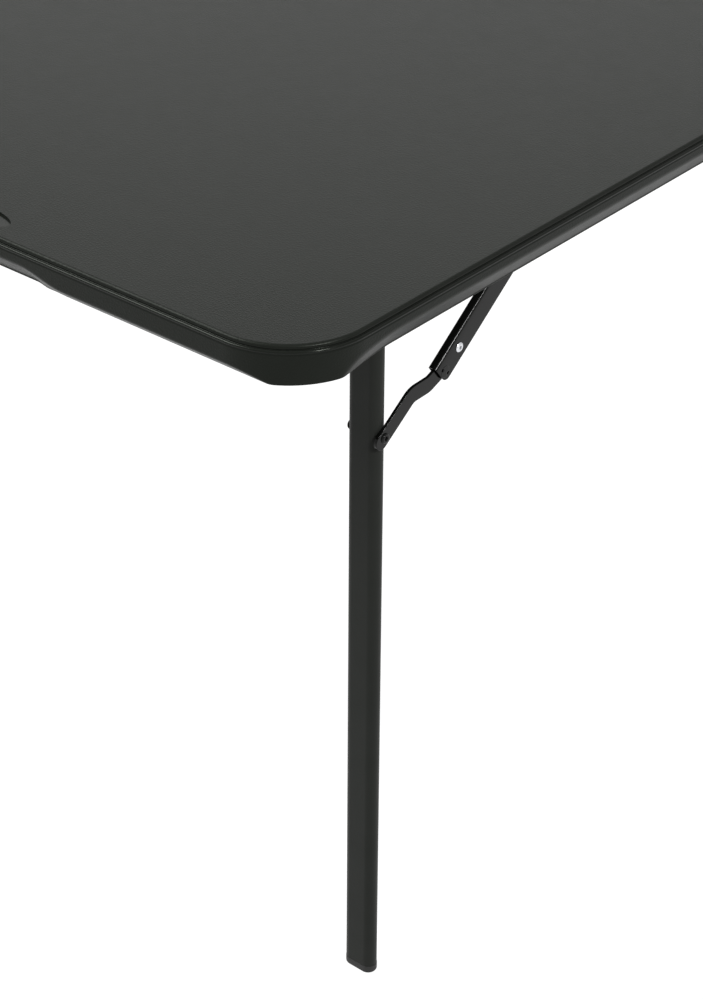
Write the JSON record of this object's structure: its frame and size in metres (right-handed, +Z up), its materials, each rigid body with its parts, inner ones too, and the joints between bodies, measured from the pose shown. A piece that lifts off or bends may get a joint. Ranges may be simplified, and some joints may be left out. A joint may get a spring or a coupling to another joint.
{
  "type": "folding table",
  "caption": "Long folding table: blow-moulded resin top, flat-oval steel tube legs that each fold flat on a locking two-piece brace.",
  "frame": {"origin": "on the floor under the middle of the top", "axes": "+Z up; the long sides of the top run along Y; the front end, with the bare oval, faces -Y"},
  "size_m": [0.762, 2.4384, 0.7112],
  "materials": {
    "resin": "black moulded resin, fine leather grain, satin",
    "leg_paint": "black powder coat, satin",
    "brace_paint": "black enamel, gloss",
    "hinge_paint": "black enamel, semi-gloss",
    "cap_resin": "black moulded resin, matte",
    "spring_steel": "blued spring steel",
    "bright_zinc": "bright zinc plating"
  },
  "bodies": {
    "top": {"tabletop": "resin", "hinge_pins": "bright_zinc", "brace_pins": "brace_paint", "hinge_screws": "bright_zinc", "mount_screws": "bright_zinc", "hinge_mount_front_right": "hinge_paint", "hinge_mount_back_right": "hinge_paint", "hinge_mount_back_left": "hinge_paint", "hinge_mount_front_left": "hinge_paint", "brace_mount_front_right": "hinge_paint", "brace_mount_back_right": "hinge_paint", "brace_mount_back_left": "hinge_paint", "brace_mount_front_left": "hinge_paint"},
    "leg_front_right": {"leg_tube_front_right": "leg_paint", "foot_cap_front_right": "cap_resin", "hinge_knuckle_front_right": "hinge_paint", "knuckle_rivet_front_right": "hinge_paint", "leg_rivet_front_right": "brace_paint"},
    "channel_front_right": {"brace_channel_front_right": "brace_paint", "elbow_pin_front_right": "brace_paint", "lock_spring_front_right": "spring_steel", "spring_rivet_front_right": "bright_zinc"},
    "link_front_right": {"lower_link_front_right": "brace_paint", "link_rivet_front_right": "brace_paint"},
    "leg_back_right": {"leg_tube_back_right": "leg_paint", "foot_cap_back_right": "cap_resin", "hinge_knuckle_back_right": "hinge_paint", "knuckle_rivet_back_right": "hinge_paint", "leg_rivet_back_right": "brace_paint"},
    "channel_back_right": {"brace_channel_back_right": "brace_paint", "elbow_pin_back_right": "brace_paint", "lock_spring_back_right": "spring_steel", "spring_rivet_back_right": "bright_zinc"},
    "link_back_right": {"lower_link_back_right": "brace_paint", "link_rivet_back_right": "brace_paint"},
    "leg_back_left": {"leg_tube_back_left": "leg_paint", "foot_cap_back_left": "cap_resin", "hinge_knuckle_back_left": "hinge_paint", "knuckle_rivet_back_left": "hinge_paint", "leg_rivet_back_left": "brace_paint"},
    "channel_back_left": {"brace_channel_back_left": "brace_paint", "elbow_pin_back_left": "brace_paint", "lock_spring_back_left": "spring_steel", "spring_rivet_back_left": "bright_zinc"},
    "link_back_left": {"lower_link_back_left": "brace_paint", "link_rivet_back_left": "brace_paint"},
    "leg_front_left": {"leg_tube_front_left": "leg_paint", "foot_cap_front_left": "cap_resin", "hinge_knuckle_front_left": "hinge_paint", "knuckle_rivet_front_left": "hinge_paint", "leg_rivet_front_left": "brace_paint"},
    "channel_front_left": {"brace_channel_front_left": "brace_paint", "elbow_pin_front_left": "brace_paint", "lock_spring_front_left": "spring_steel", "spring_rivet_front_left": "bright_zinc"},
    "link_front_left": {"lower_link_front_left": "brace_paint", "link_rivet_front_left": "brace_paint"}
  },
  "joints": [
    {"name": "leg_fold_front_right", "type": "hinge", "parent": "top", "child": "leg_front_right", "pos_m": [0.337, -1.06651, 0.68629], "axis": [1, 0, 0], "range_deg": [0, 90]},
    {"name": "channel_swing_front_right", "type": "hinge", "parent": "top", "child": "channel_front_right", "pos_m": [0.355, -0.91505, 0.686], "axis": [1, 0, 0], "range_deg": [-37.55, 0]},
    {"name": "link_swing_front_right", "type": "hinge", "parent": "channel_front_right", "child": "link_front_right", "pos_m": [0.355, -1.0124, 0.6113], "axis": [1, 0, 0], "range_deg": [0, 180.41]},
    {"name": "leg_fold_back_right", "type": "hinge", "parent": "top", "child": "leg_back_right", "pos_m": [0.337, 1.06651, 0.68629], "axis": [-1, 0, 0], "range_deg": [0, 90]},
    {"name": "channel_swing_back_right", "type": "hinge", "parent": "top", "child": "channel_back_right", "pos_m": [0.355, 0.91505, 0.686], "axis": [-1, 0, 0], "range_deg": [-37.55, 0]},
    {"name": "link_swing_back_right", "type": "hinge", "parent": "channel_back_right", "child": "link_back_right", "pos_m": [0.355, 1.0124, 0.6113], "axis": [-1, 0, 0], "range_deg": [0, 180.41]},
    {"name": "leg_fold_back_left", "type": "hinge", "parent": "top", "child": "leg_back_left", "pos_m": [-0.337, 1.06651, 0.68629], "axis": [-1, 0, 0], "range_deg": [0, 90]},
    {"name": "channel_swing_back_left", "type": "hinge", "parent": "top", "child": "channel_back_left", "pos_m": [-0.355, 0.91505, 0.686], "axis": [-1, 0, 0], "range_deg": [-37.55, 0]},
    {"name": "link_swing_back_left", "type": "hinge", "parent": "channel_back_left", "child": "link_back_left", "pos_m": [-0.355, 1.0124, 0.6113], "axis": [-1, 0, 0], "range_deg": [0, 180.41]},
    {"name": "leg_fold_front_left", "type": "hinge", "parent": "top", "child": "leg_front_left", "pos_m": [-0.337, -1.06651, 0.68629], "axis": [1, 0, 0], "range_deg": [0, 90]},
    {"name": "channel_swing_front_left", "type": "hinge", "parent": "top", "child": "channel_front_left", "pos_m": [-0.355, -0.91505, 0.686], "axis": [1, 0, 0], "range_deg": [-37.55, 0]},
    {"name": "link_swing_front_left", "type": "hinge", "parent": "channel_front_left", "child": "link_front_left", "pos_m": [-0.355, -1.0124, 0.6113], "axis": [1, 0, 0], "range_deg": [0, 180.41]}
  ],
  "couplings": [
    {"joint": "channel_swing_front_right", "follows": "leg_fold_front_right", "ratio": -0.41667},
    {"joint": "link_swing_front_right", "follows": "leg_fold_front_right", "ratio": 2.0041},
    {"joint": "channel_swing_back_right", "follows": "leg_fold_back_right", "ratio": -0.41667},
    {"joint": "link_swing_back_right", "follows": "leg_fold_back_right", "ratio": 2.0041},
    {"joint": "channel_swing_back_left", "follows": "leg_fold_back_left", "ratio": -0.41667},
    {"joint": "link_swing_back_left", "follows": "leg_fold_back_left", "ratio": 2.0041},
    {"joint": "channel_swing_front_left", "follows": "leg_fold_front_left", "ratio": -0.41667},
    {"joint": "link_swing_front_left", "follows": "leg_fold_front_left", "ratio": 2.0041}
  ]
}
